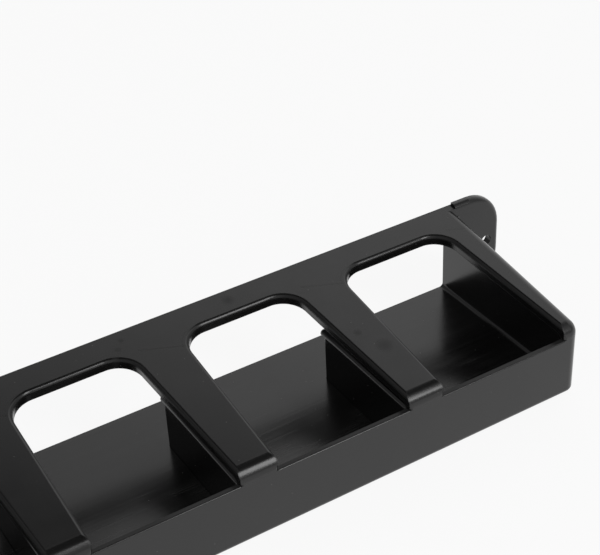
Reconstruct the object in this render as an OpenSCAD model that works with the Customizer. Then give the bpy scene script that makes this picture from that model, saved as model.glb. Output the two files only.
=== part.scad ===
// Wall-mounted rack that fishing rods stand in. A shallow tray, open to the wall behind, takes the
// butts; a sloping deck above it, cut into a comb of arms, keeps the rods apart.
// X runs along the wall, Y towards it and Z up. The origin is under the middle of the rack.

/* [Pockets] */
// Number of pockets for rods
pockets = 8; // [3:1:12]
// Distance from one pocket to the next
pitch = 62; // [54:1:80]
// Width of an inner arm at its nose
arm_w = 13.3; // [10:0.1:18]
// Width of the two outermost arms at their noses
end_arm_w = 6.8; // [6:0.1:10]
// Width of the last window at its front, which has no arm at its right but the end arm
end_window_w = 50.2; // [40:0.1:60]
// Width of an inner arm at its root, where the window's round rear corner begins
arm_root_w = 17.9; // [13.4:0.1:22]

/* [Tray] */
// Depth from the wall to the front face
depth = 73; // [60:0.1:100]
// Height of the front wall
rim_h = 23.6; // [16:0.1:24]
// Thickness of the floor
floor_t = 3.6; // [2:0.1:4]
// Thickness of the front wall and of the noses that stand on it
front_t = 1.8; // [1.6:0.1:3]
// Thickness of the end walls
end_t = 3.1; // [1.6:0.1:3.5]
// Radius of the hollow where the floor turns up into the walls
foot_r = 1.5; // [1:0.1:4]
// Radius of the two upright front corners and of the deck's outer top edge at both ends
corner_r = 4; // [2:0.1:4]
// Radius of the lower outer edges
base_r = 2; // [0.5:0.1:2]
// Radius of the front wall's top edge between the noses
rim_r = 0.5; // [0.2:0.1:0.8]

/* [Deck] */
// Height of the deck's top at the wall
deck_rear_h = 38.7; // [34:0.1:50]
// Height at which the deck's top plane reaches the front face
deck_front_h = 28.2; // [27.5:0.1:32]
// Thickness of the deck
deck_t = 3.5; // [2:0.1:3.6]
// Width of the rail along the wall, measured down the slope
rail_w = 10.8; // [9:0.1:20]
// Radius of a window's two rear corners
window_r = 9.3; // [5:0.1:15]
// Radius of the deck's top edge all round a window
edge_r = 1.4; // [1:0.1:2.2]
// Radius with which the deck turns down into a nose
nose_r = 4.6; // [4:0.1:5]
// Radius of a nose's upright edges
nose_edge_r = 1.3; // [0.5:0.1:2]
// Radius of the hollow inside a nose
nose_hollow_r = 2.8; // [0.5:0.1:3]

/* [Tongues] */
// Width of the tongue that reaches down behind the front wall from each inner nose
tongue_w = 7; // [4:0.5:9]
// Thickness of a tongue
tongue_t = 1.6; // [1:0.1:2.5]
// How far a tongue reaches below the rim
tongue_l = 5; // [2:0.5:8]
// Play between a tongue and the front wall
tongue_gap = 0.1; // [0.05:0.05:0.3]

/* [Dividers] */
// Thickness of a divider's plate
divider_t = 2.4; // [1.5:0.1:2.5]
// Distance from the wall to the rear end of a divider's plate
divider_rear = 21.7; // [15:0.1:40]
// Width of the half-round cap along a divider's top
cap_w = 3.2; // [2.6:0.1:3.8]
// How far a cap runs past its plate at the rear
cap_past = 2.4; // [0.5:0.1:3]
// How far a cap's top lies below the rim
cap_drop = 0; // [0:0.1:1]
// How far a cap stands out beyond the left side of the nose above it
cap_reveal = 0.3; // [0:0.1:1.5]
// Depth of the grooves that hold a divider
groove_d = 1; // [0.5:0.1:1.2]
// Play between a divider and the sides of its grooves
groove_gap = 0.1; // [0.05:0.05:0.2]

/* [Ears] */
// How far an ear stands out beyond the end wall
ear_w = 20.7; // [18:0.1:35]
// Height of an ear
ear_h = 39.5; // [32:0.1:50]
// Thickness of an ear
ear_t = 3.1; // [2:0.1:5]
// Radius of an ear's two outer corners
ear_r = 14; // [6:0.5:15]
// Diameter of the screw hole
hole_d = 4.5; // [3:0.1:6]
// Distance from an ear's outer side to the middle of its screw hole
hole_inset = 6; // [4:0.1:8]
// How far the middle of the screw hole lies below the middle of the ear
hole_drop = 0.8; // [0:0.1:3]
// Radius of an ear's front edge
ear_edge_r = 2; // [0.5:0.1:2]
// Radius of the hollow between an ear and its end wall
ear_foot_r = 2; // [1:0.1:4]

/* [Hidden] */
$fn = 64;
// Length by which a cutting shape runs past what it cuts
past = 1;
// How far a round stands out of the faces beside it, which leaves one clean crease there
crease = 0.004;
// Length by which the rounding of a straight edge runs on round a corner
mitre = 0.5;
// How far a window's upright wall stands out from the foot of the round above it
ledge = 0.05;

body_w = 2 * end_arm_w + (pockets - 1) * pitch + end_window_w;
half_w = body_w / 2;
// Height of the caps' flat undersides
cap_foot = rim_h - cap_drop - cap_w / 2;
slope = atan((deck_rear_h - deck_front_h) / depth);
// Distances down the deck's slope to where its top plane meets the front face, and to a nose's foot
deck_l = depth / cos(slope);
nose_l = deck_l + (deck_front_h - rim_h) * sin(slope);
// Angle by which the left side of an arm leans
lean = atan((arm_root_w - arm_w) / (deck_l - rail_w - window_r));
plastic = [0.13, 0.13, 0.135];
plate_plastic = [0.1, 0.1, 0.105];

// Left edge of window i, counted from 0 at the left
function window_x(i) = -half_w + end_arm_w + i * pitch;
// Width of window i at the front, and where its round rear corners begin
function window_w(i) = i == pockets - 1 ? end_window_w : pitch - arm_w;
function window_root_w(i) = window_w(i) - (arm_root_w - arm_w);
// Middle of the divider between windows i - 1 and i
function divider_x(i) = window_x(i) - arm_w - cap_reveal + cap_w / 2;
// Heights of the deck's top and underside at y, which is 0 at the wall and negative before it
function deck_top(y) = deck_rear_h + y * tan(slope);
function deck_under(y) = deck_top(y) - deck_t / cos(slope);

// Draws the parts from the wall plane: y = 0 there, and the front face lies at y = -depth
module from_wall() translate([0, depth / 2, 0]) children();
// Stretches a side view, drawn in y and z, along the rack
module along_x(x0, x1) translate([x0, 0, 0]) rotate([90, 0, 90]) linear_extrude(x1 - x0) children();
// Stretches a front view, drawn in x and z, from y = y0 back to y = y1
module along_y(y0, y1) translate([0, y1, 0]) rotate([90, 0, 0]) linear_extrude(y1 - y0) children();
// Puts the deck's own plane under a shape: z = 0 is its top, and y runs down its slope
module on_deck() translate([0, 0, deck_rear_h]) rotate([slope, 0, 0]) children();

// Rectangle between opposite corners a and b, with a round corner at a
module corner_square(a, b, r) {
    s = [sign(b[0] - a[0]), sign(b[1] - a[1])];
    polygon([[a[0] + s[0] * r, a[1]], [b[0], a[1]], b, [a[0], b[1]], [a[0], a[1] + s[1] * r]]);
    translate([a[0] + s[0] * r, a[1] + s[1] * r]) circle(r);
}

// What rounding an edge takes away, in section: material lies at x > 0 and y < 0
module edge_waste(r) {
    difference() {
        translate([-past, -r]) square(r + past);
        translate([r - crease, crease - r]) circle(r);
    }
}

// Space below the deck and behind the noses, in side view
module below_deck() {
    y0 = -depth + front_t;
    yc = y0 + nose_hollow_r;
    zc = deck_under(yc) - nose_hollow_r / cos(slope) + crease;
    yt = yc - nose_hollow_r * sin(slope);
    polygon([
        [y0, -past], [y0, zc], [yc, zc], [yt, deck_under(yt)], [past, deck_under(past)], [past, -past]
    ]);
    translate([yc, zc]) circle(nose_hollow_r);
}

// The tray's whole side view: its front wall up to the rim, and its end walls up to the deck
module tray_side() {
    translate([-depth, 0]) square([depth / 2, rim_h]);
    intersection() {
        below_deck();
        translate([-depth + front_t, 0]) square([depth - front_t, deck_rear_h]);
    }
}

// Plan of the rack with its two round front corners
module rack_plan() {
    corner_square([-half_w, -depth], [0, 0], corner_r);
    corner_square([half_w, -depth], [0, 0], corner_r);
}

// What rounding the lower outer edges at the front and at both ends takes away
module base_edges() {
    cx = half_w - corner_r;
    cy = -depth + corner_r;
    along_x(-cx, cx) translate([-depth, 0]) mirror([0, 1]) edge_waste(base_r);
    for (s = [0, 1]) mirror([s, 0, 0]) {
        translate([cx, cy, 0]) rotate([0, 0, -90]) rotate_extrude(angle = 90)
            translate([corner_r, 0]) rotate(180) edge_waste(base_r);
        along_y(cy, past) translate([half_w, 0]) rotate(180) edge_waste(base_r);
    }
}

// Hollow of the tray: open above and at the wall, with round foot corners on the other three sides
module tray_hollow() {
    wall_x = half_w - end_t;
    top = deck_rear_h + past;
    intersection() {
        along_x(-half_w, half_w) corner_square([-depth + front_t, floor_t], [past, top], foot_r);
        along_y(-depth, past) union() {
            corner_square([-wall_x, floor_t], [0, top], foot_r);
            corner_square([wall_x, floor_t], [0, top], foot_r);
        }
    }
}

// Right ear in front view, with a root that fills the round lower edge of the end wall
module ear_front() {
    translate([half_w - base_r, 0]) square([base_r, rim_h]);
    translate([half_w, 0]) intersection() {
        square([ear_w, ear_h]);
        union() {
            square([ear_w - ear_r, ear_h]);
            translate([0, ear_r]) square([ear_w, ear_h - 2 * ear_r]);
            for (z = [ear_r, ear_h - ear_r]) translate([ear_w - ear_r, z]) circle(ear_r);
        }
    }
}

// What rounding the front edge of the right ear takes away, drawn with the ear lying on its back
module ear_edges() {
    cx = half_w + ear_w - ear_r;
    for (s = [0, 1]) translate([0, s * ear_h, 0]) mirror([0, s, 0]) {
        translate([half_w - base_r, 0, ear_t]) rotate([90, 0, 90])
            linear_extrude(cx - half_w + base_r) edge_waste(ear_edge_r);
        translate([cx, ear_r, 0]) rotate([0, 0, -90]) rotate_extrude(angle = 90)
            translate([ear_r, ear_t]) mirror([1, 0]) edge_waste(ear_edge_r);
    }
    translate([cx + ear_r, ear_h - ear_r, ear_t]) rotate([90, 0, 0])
        linear_extrude(ear_h - 2 * ear_r) mirror([1, 0]) edge_waste(ear_edge_r);
}

// Right ear, drilled, with a hollow fillet where it leaves the end wall
module ear() {
    difference() {
        along_y(-ear_t, 0) ear_front();
        translate([half_w + ear_w - hole_inset, past, ear_h / 2 - hole_drop]) rotate([90, 0, 0])
            cylinder(h = ear_t + 2 * past, d = hole_d);
        rotate([90, 0, 0]) ear_edges();
    }
    intersection() {
        along_x(half_w, half_w + ear_foot_r) tray_side();
        linear_extrude(deck_rear_h) difference() {
            translate([half_w, -ear_t - ear_foot_r]) square(ear_foot_r);
            translate([half_w + ear_foot_r, -ear_t - ear_foot_r]) circle(ear_foot_r);
        }
    }
}

// Plate of divider i in plan, with a round rear end, and larger by the given play for its grooves
module divider_plan(i, play = 0) {
    r = divider_t / 2 + play;
    y0 = -depth + front_t - groove_d;
    y1 = -divider_rear - divider_t / 2;
    translate([divider_x(i), 0]) {
        translate([-r, y0]) square([2 * r, y1 - y0]);
        translate([0, y1]) circle(r);
    }
}

// Grooves of divider i in the floor and in the front wall
module grooves(i) translate([0, 0, floor_t - groove_d]) linear_extrude(rim_h) divider_plan(i, groove_gap);

module tray() {
    color(plastic) from_wall() {
        difference() {
            intersection() {
                along_x(-half_w, half_w) tray_side();
                linear_extrude(deck_rear_h) rack_plan();
            }
            tray_hollow();
            base_edges();
            for (i = [0:pockets - 1]) along_x(window_x(i), window_x(i) + window_w(i))
                translate([-depth, rim_h]) edge_waste(rim_r);
            for (i = [1:pockets - 1]) grooves(i);
        }
        ear();
        mirror([1, 0, 0]) ear();
    }
}

// The deck in side view: a sloping plate that turns down at the front to stand on the rim
module deck_side() {
    yc = -depth + nose_r;
    zc = deck_top(yc) - nose_r / cos(slope) + crease;
    yt = yc - nose_r * sin(slope);
    difference() {
        union() {
            polygon([
                [-depth, rim_h], [-depth, zc], [yc, zc], [yt, deck_top(yt)], [0, deck_rear_h], [0, rim_h]
            ]);
            translate([yc, zc]) circle(nose_r);
        }
        below_deck();
        translate([-depth - past, 0]) square([depth, rim_h]);
    }
}

// Outline of window i, open to the front and set in by the given amount. It is drawn from its rear
// edge, run before the front face, and reaches far enough to pass that face.
module window_plan(i, run, far, inset = 0) {
    root_w = window_root_w(i);
    cx = root_w - window_r;
    k = (window_w(i) - root_w) / (run - window_r);
    translate([window_x(i), 0]) {
        polygon([
            [inset, -far], [root_w - inset + k * (far - window_r), -far],
            [root_w - inset, -window_r], [cx, -inset], [window_r, -inset], [inset, -window_r]
        ]);
        for (x = [window_r, cx]) translate([x, -window_r]) circle(window_r - inset);
    }
}

// Top of window i down to the foot of its round edge, cut square to the deck's own plane
module window_top(i) {
    far = nose_l - rail_w + past;
    root_w = window_root_w(i);
    cx = root_w - window_r;
    translate([0, -rail_w, -edge_r]) linear_extrude(edge_r + past) window_plan(i, deck_l - rail_w, far);
    translate([window_x(i), -rail_w, 0]) {
        // The two round corners
        translate([window_r, -window_r, 0]) rotate([0, 0, 90]) rotate_extrude(angle = 90)
            translate([window_r, 0]) edge_waste(edge_r);
        translate([cx, -window_r, 0]) rotate_extrude(angle = 90)
            translate([window_r, 0]) edge_waste(edge_r);
        // Left side, rear edge and leaning right side
        translate([0, -window_r, 0]) mirror([1, 0, 0]) rotate([90, 0, 0])
            linear_extrude(far - window_r) edge_waste(edge_r);
        translate([window_r, 0, 0]) rotate([90, 0, 90])
            linear_extrude(cx - window_r) edge_waste(edge_r);
        translate([root_w, -window_r, 0]) rotate([90, 0, lean]) translate([0, 0, -mitre])
            linear_extrude((far - window_r) / cos(lean) + mitre) edge_waste(edge_r);
    }
}

// Upright walls of window i, from the foot of its round edge down
module window_walls(i) {
    rear = rail_w * cos(slope) - edge_r * sin(slope);
    run = depth - rear;
    translate([0, -rear, rim_h - past]) linear_extrude(deck_rear_h) window_plan(i, run, run + past, ledge);
}

// What rounding the upright edges of the noses on both sides of window i takes away
module nose_edges(i) {
    r = nose_edge_r;
    x0 = window_x(i) + ledge;
    x1 = window_x(i) + window_w(i) - ledge;
    left = x0 - r + crease;
    right = x1 + r * (1 - tan(lean) * cos(slope)) - crease;
    translate([0, 0, rim_h - past]) linear_extrude(deck_rear_h) difference() {
        for (x = [[left, x0 + past], [x1 - past, right]])
            translate([x[0], -depth - past]) square([x[1] - x[0], r + past]);
        for (x = [left, right]) translate([x, -depth + r - crease]) circle(r);
    }
}

// Tongue behind the front wall under the nose at the left of window i
module tongue(i) {
    // Room under the nose at the right of the divider's cap
    room = arm_w + cap_reveal - cap_w;
    x0 = window_x(i) - (room + tongue_w) / 2;
    y0 = -depth + front_t;
    top = deck_under(y0) + deck_t / 2;
    along_x(x0, x0 + tongue_w) {
        translate([y0, rim_h]) square([tongue_gap + tongue_t, top - rim_h]);
        translate([y0 + tongue_gap, rim_h - tongue_l]) square([tongue_t, tongue_l + past]);
    }
}

// What rounding the deck's right top edge takes away: from the ear down the slope, then round the nose
module end_edge() {
    r = corner_r;
    yc = -depth + nose_r;
    zc = deck_top(yc) - nose_r / cos(slope) + crease;
    run = (deck_rear_h - zc) * sin(slope) - yc * cos(slope);
    difference() {
        on_deck() translate([half_w, past, 0]) mirror([1, 0, 0]) rotate([90, 0, 0])
            linear_extrude(past + run + mitre) edge_waste(r);
        translate([half_w - r - past, -ear_t, 0]) cube([r + 3 * past, ear_t + 2 * past, 2 * deck_rear_h]);
    }
    translate([half_w - r + crease, yc, zc]) rotate([90, 0, 90]) rotate(90 + slope)
        rotate_extrude(angle = 90 - slope) translate([nose_r + crease, r]) mirror([1, 0]) edge_waste(r);
}

module comb_deck() {
    color(plastic) from_wall() {
        difference() {
            intersection() {
                along_x(-half_w, half_w) deck_side();
                linear_extrude(deck_rear_h) rack_plan();
            }
            for (i = [0:pockets - 1]) {
                on_deck() window_top(i);
                window_walls(i);
                nose_edges(i);
            }
            for (s = [0, 1]) mirror([s, 0, 0]) end_edge();
        }
        for (i = [1:pockets - 1]) tongue(i);
    }
}

// Half-round cap along the top of divider i, with a round rear end
module cap(i) {
    r = cap_w / 2;
    y0 = -depth + front_t + groove_gap;
    y1 = -divider_rear + cap_past - r;
    translate([divider_x(i), y1, cap_foot]) {
        rotate([90, 0, 0]) linear_extrude(y1 - y0) intersection() {
            circle(r);
            translate([-r, 0]) square([2 * r, r]);
        }
        rotate_extrude(angle = 180) intersection() {
            circle(r);
            square(r);
        }
    }
}

module divider(i) {
    foot = floor_t - groove_d;
    color(plate_plastic) from_wall() {
        translate([0, 0, foot]) linear_extrude(cap_foot - foot) divider_plan(i);
        cap(i);
    }
}

tray();
comb_deck();
for (i = [1:pockets - 1])
    divider(i);
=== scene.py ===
import math

import bpy
from mathutils import Matrix, Vector

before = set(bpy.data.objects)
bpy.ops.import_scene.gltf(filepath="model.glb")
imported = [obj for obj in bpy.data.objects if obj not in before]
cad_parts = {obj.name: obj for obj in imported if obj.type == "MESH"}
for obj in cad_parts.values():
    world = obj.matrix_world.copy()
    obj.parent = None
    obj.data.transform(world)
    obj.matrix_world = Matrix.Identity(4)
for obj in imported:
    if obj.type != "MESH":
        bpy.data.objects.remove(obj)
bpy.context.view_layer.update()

# Camera, from the perspective of every straight edge in the photograph
CAMERA_PLACE = Vector((-0.02724, -0.32357, 0.31778))
CAMERA_AZIMUTH = math.radians(30.312)
CAMERA_DIP = math.radians(34.398)
CAMERA_ROLL = math.radians(2.906)
LENS_MM = 86.39

# Studio: metres, and strengths where 1 is white
WHITE = (1.0, 1.0, 1.0, 1.0)
FLOOR_SIZE = 30.0
FLOOR_LIFT = 0.9  # share of the floor's white that needs no light
WALL_MIDDLE = 0.57
WALL_SLOPE = 1.1  # the walls get brighter to the right
WALL_BEHIND = (-0.4, 0.3)  # where that starts, and where it is full behind the rack
WALL_LIMITS = (0.3, 1.0)
WALL_END = math.sin(math.radians(51))  # from here up the walls fade to the dim ceiling
CEILING_START = math.sin(math.radians(60))
CEILING_SHARE = 0.05
# Softbox before the rack, to the right of the camera
LAMP_PLACE = Vector((0.70, -1.11, 0.87))
LAMP_AIM = Vector((0.15, 0.0, 0.02))
LAMP_SIZE = (0.36, 0.86)
LAMP_RADIANCE = 6.4

# From here on a pair of numbers is a fade, from where a mask is 0 to where it is 1

# Sizes of the rack, in metres
PITCH = 0.062
OUTER_EDGE = 0.2444  # from the middle to the foot of the deck's outer edges
RIM_HEIGHT = 0.0236

# Marks on the deck, in metres
WELD_START = Vector((0.1765, 0.0252, 0.0))
WELD_LENGTH = 0.0155
WELD_FALL = 0.3935  # toward the front, per metre to the right
WELD_WIDTH = (0.0007, 0.0001)
WELD_FADE = (WELD_LENGTH, WELD_LENGTH - 0.002)
WITNESS_CENTRE = Vector((0.1982, 0.0180, 0.0))
WITNESS_RADIUS = 0.00825
WITNESS_WIDTH = (0.0003, 0.00005)
WITNESS_SIDE_FADE = (0.002, -0.001)
WITNESS_FRONT_FADE = (0.0, 0.003)
SMUDGES = (  # place and radius
    (0.1066, 0.0256, 0.0016), (0.1092, 0.0288, 0.0016), (0.1120, 0.0322, 0.0016),
    (0.1520, 0.0319, 0.003), (0.1812, -0.0030, 0.002), (0.1856, -0.0121, 0.004),
)

# Marks on the tray's floor
FLOOR_LEVEL = (0.7, 0.95)  # upward part of the surface's direction
STREAK_SCALES = (24.0, 1100.0, 1100.0)
PATCH_SCALES = (60.0, 110.0, 110.0)
PATCH_FADE = (0.4, 0.75)
PATCH_FRONT = (0.01, -0.012)

# Places that the rods rub dull: the windows' sides and the top of the front wall
SIDE_TILT = (0.2, 0.5)  # sideways part of the surface's direction
SIDE_TOP = (0.95, 0.8)  # upward part of it
SIDE_FOOT = (0.05, 0.25)
SIDE_END = (OUTER_EDGE + 0.0005, OUTER_EDGE)
SIDE_MATT = 0.83
RIM_BAND = (0.0004, 0.0001)  # metres above or below the rim
RIM_LEVEL = (0.93, 0.99)
RIM_MATT = 0.65

# Texture all over, with scales in cells per metre
NOISE_MEAN = 0.5
BROAD_SCALE = 22.0
BROAD_FADE = (0.3, 0.7)
FLOW_SCALE = 90.0
FINE_SCALE = 1500.0
WEAR_SCALE = 140.0
WEAR_FADE = (0.42, 0.62)
DUST_SCALE = 300.0
DUST_FADE = (0.034, 0.020)
BEVEL_RADIUS = 0.0012
BEVEL_SAMPLES = 6
BEVEL_FADE = (0.995, 0.93)  # cosine between the rounded and the true direction

# Colours in linear light, and how far each covers the black
BODY_BLACKS = ((0.006, 0.006, 0.0062, 1), (0.0085, 0.0083, 0.0082, 1))
# The dividers' blacks are darker than the body's: painted shade for the dividers, which stand in
# the shaded pockets
DIVIDER_SHADED_BLACKS = ((0.0018, 0.0018, 0.002, 1), (0.004, 0.0039, 0.0038, 1))
FILM_COLOUR = (0.045, 0.045, 0.044, 1)
STREAK_FILM = 1.2
PATCH_FILM = 0.5
WORN_COLOUR = (0.022, 0.022, 0.023, 1)
WORN_SHARE = 0.3
DUST_COLOUR = (0.26, 0.26, 0.25, 1)
MATT_COLOUR = (0.032, 0.032, 0.032, 1)

# Gloss: refraction, roughness, and what each texture and mark adds to the roughness
PLASTIC_IOR = 1.5
BODY_ROUGHNESS = 0.195
DIVIDER_ROUGHNESS = 0.2
FLOW_ROUGH = 0.12
BROAD_ROUGH = 0.12
FINE_ROUGH = 0.04
DUST_ROUGH = 0.5
DECK_EDGE_ROUGH = 0.16
SMUDGE_ROUGH = 0.25
LINE_ROUGH = 0.08
STREAK_ROUGH = 0.05
PATCH_ROUGH = 0.03

# Height of each texture and mark, in metres
FINE_HEIGHT = 3.5e-6
FLOW_HEIGHT = 1e-5
STREAK_HEIGHT = 1.2e-5
LINE_HEIGHT = -4e-6

NO_MARKS = {"film": [], "rough": [], "height": [], "matt": None}


def feed(tree, socket, value):
    """Sets an input of a node: links a socket, or writes a number, a triple or a colour."""
    if isinstance(value, bpy.types.NodeSocket):
        tree.links.new(value, socket)
    else:
        socket.default_value = value


def new_node(tree, kind, **settings):
    """A shader node with its properties and inputs set by name."""
    node = tree.nodes.new(kind)
    for name, value in settings.items():
        if hasattr(node, name):
            setattr(node, name, value)
        else:
            feed(tree, node.inputs[name.replace("_", " ")], value)
    return node


def math_node(tree, operation, *values):
    """One arithmetic node on numbers or sockets. Returns its output."""
    node = new_node(tree, "ShaderNodeMath", operation=operation)
    for socket, value in zip(node.inputs, values):
        feed(tree, socket, value)
    return node.outputs[0]


def vector_node(tree, operation, output, first, second):
    """One vector operation on triples or sockets. Returns the named output."""
    node = new_node(tree, "ShaderNodeVectorMath", operation=operation)
    feed(tree, node.inputs[0], first)
    feed(tree, node.inputs[1], second)
    return node.outputs[output]


def add(tree, total, *values):
    for value in values:
        total = math_node(tree, "ADD", total, value)
    return total


def times(tree, total, *values):
    for value in values:
        total = math_node(tree, "MULTIPLY", total, value)
    return total


def absolute(tree, value):
    return math_node(tree, "ABSOLUTE", value)


def weighted(tree, *pairs):
    """The sum of sockets, each times its weight."""
    return add(tree, *(times(tree, value, weight) for value, weight in pairs))


def split(tree, vector):
    """The x, y and z of a vector socket."""
    node = new_node(tree, "ShaderNodeSeparateXYZ", Vector=vector)
    return tuple(node.outputs)


def facing(tree):
    """The surface's direction, as a socket."""
    return tree.nodes.new("ShaderNodeNewGeometry").outputs["Normal"]


def remap(tree, value, low, high, out_low=0.0, out_high=1.0):
    """Smooth step of a socket from one range to another, clamped at both ends."""
    node = new_node(tree, "ShaderNodeMapRange", interpolation_type="SMOOTHSTEP", Value=value,
                    From_Min=low, From_Max=high, To_Min=out_low, To_Max=out_high)
    return node.outputs["Result"]


def noise(tree, place, scale, detail=2.0):
    node = new_node(tree, "ShaderNodeTexNoise", Vector=place, Scale=scale, Detail=detail)
    return node.outputs[0]


def stretched_noise(tree, place, scales):
    """Noise with a scale of its own along each axis."""
    scaled = vector_node(tree, "MULTIPLY", "Vector", place, scales)
    return noise(tree, scaled, scale=1.0, detail=1.0)


def mix_colours(tree, share, first, second):
    """Two colours, as sockets or values, mixed by a share from 0 to 1."""
    node = new_node(tree, "ShaderNodeMix", data_type="RGBA", Factor=share)
    feed(tree, node.inputs[6], first)
    feed(tree, node.inputs[7], second)
    return node.outputs[2]


def mix_shaders(tree, share, first, second):
    node = tree.nodes.new("ShaderNodeMixShader")
    for socket, value in zip(node.inputs, (share, first, second)):
        feed(tree, socket, value)
    return node.outputs[0]


def empty_material(name):
    material = bpy.data.materials.new(name)
    material.use_nodes = True
    material.node_tree.nodes.clear()
    return material, material.node_tree


def edges(tree):
    """1 on the rounded edges and 0 on the faces."""
    bevel = new_node(tree, "ShaderNodeBevel", Radius=BEVEL_RADIUS, samples=BEVEL_SAMPLES)
    likeness = vector_node(tree, "DOT_PRODUCT", "Value", bevel.outputs[0], facing(tree))
    return remap(tree, likeness, *BEVEL_FADE)


def dust(tree, place):
    """Tiny specks of dust, 0.2 mm across."""
    cells = new_node(tree, "ShaderNodeTexVoronoi", Vector=place, Scale=DUST_SCALE)
    return remap(tree, cells.outputs["Distance"], *DUST_FADE)


def rubbed_sides(tree, place):
    """The matt share of the rounded upper edges along the windows' sides; 0 elsewhere."""
    side, _, up = split(tree, facing(tree))
    x, _, _ = split(tree, place)
    rounded = times(tree, remap(tree, up, *SIDE_TOP), remap(tree, up, *SIDE_FOOT))
    inside = remap(tree, absolute(tree, x), *SIDE_END)
    tilted = remap(tree, absolute(tree, side), *SIDE_TILT)
    return times(tree, tilted, rounded, inside, SIDE_MATT)


def rubbed_rim(tree, place):
    """The matt share of the flat top of the front wall; 0 elsewhere."""
    _, _, up = split(tree, facing(tree))
    _, _, z = split(tree, place)
    band = remap(tree, absolute(tree, add(tree, z, -RIM_HEIGHT)), *RIM_BAND)
    return times(tree, band, remap(tree, up, *RIM_LEVEL), RIM_MATT)


def deck_lines(tree, place):
    """The weld line across each arm's root and the witness line at each window's rear corner."""
    x, y, _ = split(tree, place)
    along = math_node(tree, "FLOORED_MODULO", add(tree, x, -WELD_START.x), PITCH)
    off = add(tree, y, times(tree, along, WELD_FALL), -WELD_START.y)
    weld = remap(tree, absolute(tree, off), *WELD_WIDTH)
    weld = times(tree, weld, remap(tree, along, *WELD_FADE))

    half = PITCH / 2
    dx = add(tree, x, half - WITNESS_CENTRE.x)
    dx = add(tree, math_node(tree, "FLOORED_MODULO", dx, PITCH), -half)
    dy = add(tree, y, -WITNESS_CENTRE.y)
    reach = math_node(tree, "SQRT", add(tree, times(tree, dx, dx), times(tree, dy, dy)))
    ring = remap(tree, absolute(tree, add(tree, reach, -WITNESS_RADIUS)), *WITNESS_WIDTH)
    quarter = times(tree, remap(tree, dx, *WITNESS_SIDE_FADE), remap(tree, dy, *WITNESS_FRONT_FADE))
    return add(tree, weld, times(tree, ring, quarter))


def smudges(tree, place):
    """Soft patches where hands and moulding left the deck less glossy."""
    plan = vector_node(tree, "MULTIPLY", "Vector", place, (1, 1, 0))
    spots = []
    for x, y, radius in SMUDGES:
        gap = vector_node(tree, "DISTANCE", "Value", plan, (x, y, 0))
        spots.append(remap(tree, gap, radius, 0.0))
    return add(tree, *spots)


def floor_marks(tree, place):
    """Fine streaks along the tray's floor, around 0, and patches rubbed dull toward its front."""
    _, _, up = split(tree, facing(tree))
    _, y, _ = split(tree, place)
    level = remap(tree, up, *FLOOR_LEVEL)
    streak = times(tree, add(tree, stretched_noise(tree, place, STREAK_SCALES), -NOISE_MEAN), level)
    patch = remap(tree, stretched_noise(tree, place, PATCH_SCALES), *PATCH_FADE)
    return streak, times(tree, patch, remap(tree, y, *PATCH_FRONT), level)


def tray_marks(tree, place):
    """The tray's own marks, each with what it adds to film, roughness or height."""
    streak, patch = floor_marks(tree, place)
    return {
        "film": [(streak, STREAK_FILM), (patch, PATCH_FILM)],
        "rough": [(streak, STREAK_ROUGH), (patch, PATCH_ROUGH)],
        "height": [(streak, STREAK_HEIGHT)],
        "matt": rubbed_rim(tree, place),
    }


def deck_marks(tree, place):
    """The deck's own marks, each with what it adds to roughness or height."""
    lines, soft = deck_lines(tree, place), smudges(tree, place)
    return {
        "film": [],
        "rough": [(soft, SMUDGE_ROUGH), (lines, LINE_ROUGH)],
        "height": [(lines, LINE_HEIGHT)],
        "matt": rubbed_sides(tree, place),
    }


def plastic(name, blacks, roughness, edge_rough=0.0, own_marks=None):
    """Black moulded plastic: uneven colour and gloss, fine grain, worn edges and a little dust.

    own_marks is a function that gives the piece's own marks and the share of it that is matt.
    """
    material, tree = empty_material(name)
    place = tree.nodes.new("ShaderNodeTexCoord").outputs["Object"]
    broad = noise(tree, place, BROAD_SCALE, detail=3.0)
    fine = noise(tree, place, FINE_SCALE)
    flow = noise(tree, place, FLOW_SCALE, detail=4.0)
    edge = edges(tree)
    specks = dust(tree, place)
    marks = own_marks(tree, place) if own_marks else NO_MARKS

    colour = mix_colours(tree, remap(tree, broad, *BROAD_FADE), *blacks)
    if marks["film"]:
        film = math_node(tree, "MAXIMUM", weighted(tree, *marks["film"]), 0.0)
        colour = mix_colours(tree, film, colour, FILM_COLOUR)
    worn = times(tree, edge, remap(tree, noise(tree, place, WEAR_SCALE), *WEAR_FADE), WORN_SHARE)
    colour = mix_colours(tree, worn, colour, WORN_COLOUR)
    colour = mix_colours(tree, specks, colour, DUST_COLOUR)

    grain = [(flow, FLOW_ROUGH), (broad, BROAD_ROUGH), (fine, FINE_ROUGH)]
    wear = [(edge, edge_rough), (specks, DUST_ROUGH)]
    rough = weighted(tree, *grain, *wear, *marks["rough"])
    rough = add(tree, rough, roughness - NOISE_MEAN * (FLOW_ROUGH + BROAD_ROUGH))

    grain = [(fine, FINE_HEIGHT), (flow, FLOW_HEIGHT)]
    height = weighted(tree, *grain, *marks["height"])
    bump = new_node(tree, "ShaderNodeBump", Strength=1.0, Distance=1.0, Height=height)

    shader = new_node(tree, "ShaderNodeBsdfPrincipled", IOR=PLASTIC_IOR, Base_Color=colour,
                      Roughness=rough, Normal=bump.outputs[0])
    surface = shader.outputs[0]
    if marks["matt"]:
        matt = new_node(tree, "ShaderNodeBsdfDiffuse", Color=MATT_COLOUR)
        surface = mix_shaders(tree, marks["matt"], surface, matt.outputs[0])
    new_node(tree, "ShaderNodeOutputMaterial", Surface=surface)
    return material


def dress(node, material):
    """Puts one material on every slot of a CAD node."""
    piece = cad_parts[node]
    piece.data.materials.clear()
    piece.data.materials.append(material)


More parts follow.
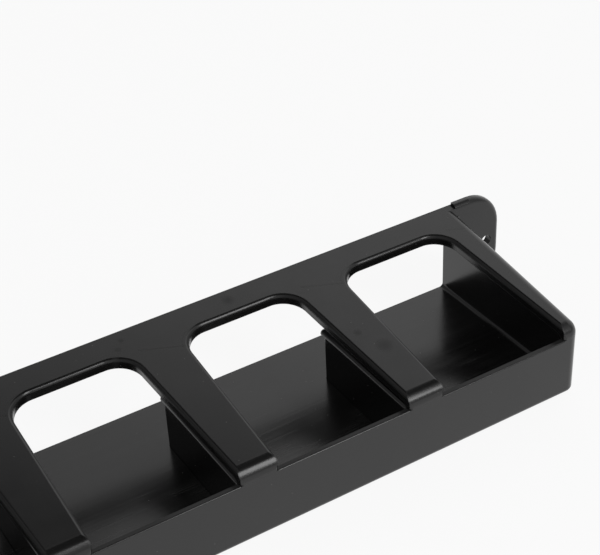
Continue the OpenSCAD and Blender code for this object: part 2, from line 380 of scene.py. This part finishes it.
def direct_ray(tree):
    """1 for rays that look straight at a surface or see it in a gloss or through glass, else 0."""
    path = tree.nodes.new("ShaderNodeLightPath")
    seen = math_node(tree, "MAXIMUM", path.outputs["Is Camera Ray"], path.outputs["Is Glossy Ray"])
    return math_node(tree, "MAXIMUM", seen, path.outputs["Is Transmission Ray"])


def make_floor():
    """A plain white floor, lifted toward white where it is seen, with the object's faint shadow."""
    bpy.ops.mesh.primitive_plane_add(size=FLOOR_SIZE, location=(0, 0, 0))
    floor = bpy.context.object
    floor.name = "floor"
    material, tree = empty_material("floor_white")
    diffuse = new_node(tree, "ShaderNodeBsdfDiffuse", Color=WHITE)
    lift = new_node(tree, "ShaderNodeEmission", Color=WHITE, Strength=1.0)
    share = times(tree, direct_ray(tree), FLOOR_LIFT)
    surface = mix_shaders(tree, share, diffuse.outputs[0], lift.outputs[0])
    new_node(tree, "ShaderNodeOutputMaterial", Surface=surface)
    floor.data.materials.append(material)


def make_world():
    """Pale walls all round, brightest behind the rack to the right, under a dim ceiling."""
    world = bpy.data.worlds.new("studio")
    bpy.context.scene.world = world
    world.use_nodes = True
    tree = world.node_tree
    tree.nodes.clear()
    x, y, z = split(tree, tree.nodes.new("ShaderNodeTexCoord").outputs["Generated"])
    side = times(tree, x, remap(tree, y, *WALL_BEHIND))
    level = add(tree, times(tree, side, WALL_SLOPE), WALL_MIDDLE)
    low, high = WALL_LIMITS
    level = math_node(tree, "MAXIMUM", math_node(tree, "MINIMUM", level, high), low)
    height = remap(tree, z, WALL_END, CEILING_START, 1.0, CEILING_SHARE)
    back = new_node(tree, "ShaderNodeBackground", Color=WHITE, Strength=times(tree, level, height))
    new_node(tree, "ShaderNodeOutputWorld", Surface=back.outputs[0])


def make_lamp():
    data = bpy.data.lights.new("key", "AREA")
    data.shape = "RECTANGLE"
    data.size, data.size_y = LAMP_SIZE
    data.energy = LAMP_RADIANCE * math.pi * LAMP_SIZE[0] * LAMP_SIZE[1]
    lamp = bpy.data.objects.new("key", data)
    lamp.location = LAMP_PLACE
    lamp.rotation_euler = (LAMP_AIM - LAMP_PLACE).to_track_quat("-Z", "Y").to_euler()
    bpy.context.scene.collection.objects.link(lamp)


def make_camera():
    az, dip, roll = CAMERA_AZIMUTH, CAMERA_DIP, CAMERA_ROLL
    ahead = Vector((math.sin(az) * math.cos(dip), math.cos(az) * math.cos(dip), -math.sin(dip)))
    level = Vector((math.cos(az), -math.sin(az), 0))
    below = ahead.cross(level)
    right = level * math.cos(roll) + below * math.sin(roll)
    down = below * math.cos(roll) - level * math.sin(roll)
    data = bpy.data.cameras.new("camera")
    data.lens = LENS_MM
    camera = bpy.data.objects.new("camera", data)
    turn = Matrix((right, -down, -ahead)).transposed().to_4x4()
    camera.matrix_world = Matrix.Translation(CAMERA_PLACE) @ turn
    bpy.context.scene.collection.objects.link(camera)
    bpy.context.scene.camera = camera


make_camera()
make_world()
make_lamp()
make_floor()
own_plastics = {
    "tray": plastic("tray_plastic", BODY_BLACKS, BODY_ROUGHNESS, own_marks=tray_marks),
    "comb_deck": plastic("deck_plastic", BODY_BLACKS, BODY_ROUGHNESS, DECK_EDGE_ROUGH, deck_marks),
}
# The dividers take the darker blacks, painted shade of the pockets they stand in
divider_plastic = plastic("divider_plastic", DIVIDER_SHADED_BLACKS, DIVIDER_ROUGHNESS)
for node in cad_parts:
    dress(node, own_plastics.get(node, divider_plastic))

bpy.context.scene.view_settings.view_transform = "Standard"
